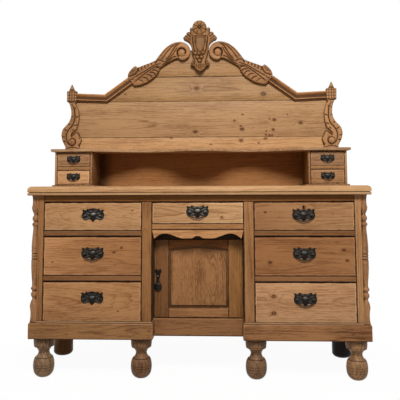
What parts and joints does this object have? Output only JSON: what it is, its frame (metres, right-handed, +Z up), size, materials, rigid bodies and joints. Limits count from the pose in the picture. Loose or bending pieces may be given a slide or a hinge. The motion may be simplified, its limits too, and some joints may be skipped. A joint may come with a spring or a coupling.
{
  "type": "buffet cabinet",
  "caption": "Waxed pine sideboard with drawer banks beside a recessed arched door, and a tall gallery with a shelf, small drawers and a carved crest.",
  "frame": {"origin": "on the floor, at the middle of the width and of the depth", "axes": "+X to the right seen from the front, +Y from front to back, +Z up"},
  "size_m": [1.7, 0.53, 1.924],
  "materials": {
    "pine": "waxed",
    "worn_pine": "worn, dark",
    "inner_pine": "bare",
    "bronze": "dark patina",
    "iron": "dull"
  },
  "bodies": {
    "cabinet": {"worktop": "pine", "case_sides": "pine", "case_back": "inner_pine", "case_bottom": "inner_pine", "partitions": "pine", "face_posts": "pine", "face_rails": "pine", "apron": "pine", "corner_columns": "pine", "plinth": "worn_pine", "front_feet": "worn_pine", "back_feet": "worn_pine", "drawer_runners": "inner_pine", "hinge_leaves_fixed": "iron", "small_drawer_cases": "pine", "gallery_shelf": "pine", "back_panel": "pine", "crest_moulding": "pine", "crest_scrolls": "pine", "crest_cartouche": "pine", "side_scrolls": "pine"},
    "left_top_drawer": {"drawer_left_top": "pine", "plate_left_top": "bronze"},
    "left_top_bail": {"bail_left_top": "bronze"},
    "left_middle_drawer": {"drawer_left_middle": "pine", "plate_left_middle": "bronze"},
    "left_middle_bail": {"bail_left_middle": "bronze"},
    "left_bottom_drawer": {"drawer_left_bottom": "pine", "plate_left_bottom": "bronze"},
    "left_bottom_bail": {"bail_left_bottom": "bronze"},
    "right_top_drawer": {"drawer_right_top": "pine", "plate_right_top": "bronze", "drawer_lock": "iron"},
    "right_top_bail": {"bail_right_top": "bronze"},
    "right_middle_drawer": {"drawer_right_middle": "pine", "plate_right_middle": "bronze"},
    "right_middle_bail": {"bail_right_middle": "bronze"},
    "right_bottom_drawer": {"drawer_right_bottom": "pine", "plate_right_bottom": "bronze"},
    "right_bottom_bail": {"bail_right_bottom": "bronze"},
    "centre_drawer": {"drawer_centre": "pine", "plate_centre": "bronze"},
    "centre_bail": {"bail_centre": "bronze"},
    "small_left_upper_drawer": {"drawer_small_left_upper": "pine", "plate_small_left_upper": "bronze"},
    "small_left_upper_bail": {"bail_small_left_upper": "bronze"},
    "small_left_lower_drawer": {"drawer_small_left_lower": "pine", "plate_small_left_lower": "bronze"},
    "small_left_lower_bail": {"bail_small_left_lower": "bronze"},
    "small_right_upper_drawer": {"drawer_small_right_upper": "pine", "plate_small_right_upper": "bronze"},
    "small_right_upper_bail": {"bail_small_right_upper": "bronze"},
    "small_right_lower_drawer": {"drawer_small_right_lower": "pine", "plate_small_right_lower": "bronze"},
    "small_right_lower_bail": {"bail_small_right_lower": "bronze"},
    "door": {"door_frame": "pine", "door_panel": "pine", "door_handle_plate": "bronze", "hinge_leaves_door": "iron"},
    "door_drop": {"door_handle_drop": "bronze"}
  },
  "joints": [
    {"name": "left_top_slide", "type": "slide", "parent": "cabinet", "child": "left_top_drawer", "axis": [0, -1, 0], "range_m": [0, 0.36]},
    {"name": "left_top_bail_swing", "type": "hinge", "parent": "left_top_drawer", "child": "left_top_bail", "pos_m": [-0.523, -0.2446, 0.7958], "axis": [-1, 0, 0], "range_deg": [-184, 0]},
    {"name": "left_middle_slide", "type": "slide", "parent": "cabinet", "child": "left_middle_drawer", "axis": [0, -1, 0], "range_m": [0, 0.36]},
    {"name": "left_middle_bail_swing", "type": "hinge", "parent": "left_middle_drawer", "child": "left_middle_bail", "pos_m": [-0.523, -0.2446, 0.6068], "axis": [-1, 0, 0], "range_deg": [0, 184]},
    {"name": "left_bottom_slide", "type": "slide", "parent": "cabinet", "child": "left_bottom_drawer", "axis": [0, -1, 0], "range_m": [0, 0.36]},
    {"name": "left_bottom_bail_swing", "type": "hinge", "parent": "left_bottom_drawer", "child": "left_bottom_bail", "pos_m": [-0.523, -0.2446, 0.3888], "axis": [-1, 0, 0], "range_deg": [-184, 0]},
    {"name": "right_top_slide", "type": "slide", "parent": "cabinet", "child": "right_top_drawer", "axis": [0, -1, 0], "range_m": [0, 0.36]},
    {"name": "right_top_bail_swing", "type": "hinge", "parent": "right_top_drawer", "child": "right_top_bail", "pos_m": [0.523, -0.2446, 0.7958], "axis": [-1, 0, 0], "range_deg": [0, 184]},
    {"name": "right_middle_slide", "type": "slide", "parent": "cabinet", "child": "right_middle_drawer", "axis": [0, -1, 0], "range_m": [0, 0.36]},
    {"name": "right_middle_bail_swing", "type": "hinge", "parent": "right_middle_drawer", "child": "right_middle_bail", "pos_m": [0.523, -0.2446, 0.6068], "axis": [-1, 0, 0], "range_deg": [0, 184]},
    {"name": "right_bottom_slide", "type": "slide", "parent": "cabinet", "child": "right_bottom_drawer", "axis": [0, -1, 0], "range_m": [0, 0.36]},
    {"name": "right_bottom_bail_swing", "type": "hinge", "parent": "right_bottom_drawer", "child": "right_bottom_bail", "pos_m": [0.523, -0.2446, 0.3888], "axis": [-1, 0, 0], "range_deg": [0, 184]},
    {"name": "centre_slide", "type": "slide", "parent": "cabinet", "child": "centre_drawer", "axis": [0, -1, 0], "range_m": [0, 0.36]},
    {"name": "centre_bail_swing", "type": "hinge", "parent": "centre_drawer", "child": "centre_bail", "pos_m": [0, -0.2446, 0.8122], "axis": [-1, 0, 0], "range_deg": [0, 184]},
    {"name": "small_left_upper_slide", "type": "slide", "parent": "cabinet", "child": "small_left_upper_drawer", "axis": [0, -1, 0], "range_m": [0, 0.15]},
    {"name": "small_left_upper_bail_swing", "type": "hinge", "parent": "small_left_upper_drawer", "child": "small_left_upper_bail", "pos_m": [-0.697, 0.0236, 1.0891], "axis": [-1, 0, 0], "range_deg": [0, 184]},
    {"name": "small_left_lower_slide", "type": "slide", "parent": "cabinet", "child": "small_left_lower_drawer", "axis": [0, -1, 0], "range_m": [0, 0.15]},
    {"name": "small_left_lower_bail_swing", "type": "hinge", "parent": "small_left_lower_drawer", "child": "small_left_lower_bail", "pos_m": [-0.697, 0.0236, 0.9929], "axis": [-1, 0, 0], "range_deg": [0, 184]},
    {"name": "small_right_upper_slide", "type": "slide", "parent": "cabinet", "child": "small_right_upper_drawer", "axis": [0, -1, 0], "range_m": [0, 0.15]},
    {"name": "small_right_upper_bail_swing", "type": "hinge", "parent": "small_right_upper_drawer", "child": "small_right_upper_bail", "pos_m": [0.697, 0.0236, 1.0891], "axis": [-1, 0, 0], "range_deg": [0, 184]},
    {"name": "small_right_lower_slide", "type": "slide", "parent": "cabinet", "child": "small_right_lower_drawer", "axis": [0, -1, 0], "range_m": [0, 0.15]},
    {"name": "small_right_lower_bail_swing", "type": "hinge", "parent": "small_right_lower_drawer", "child": "small_right_lower_bail", "pos_m": [0.697, 0.0236, 0.9929], "axis": [-1, 0, 0], "range_deg": [0, 184]},
    {"name": "door_swing", "type": "hinge", "parent": "cabinet", "child": "door", "pos_m": [0.224, -0.1585, 0.4825], "axis": [0, 0, 1], "range_deg": [0, 90]},
    {"name": "door_drop_swing", "type": "hinge", "parent": "door", "child": "door_drop", "pos_m": [-0.204, -0.164, 0.487], "axis": [-1, 0, 0], "range_deg": [0, 80]}
  ]
}
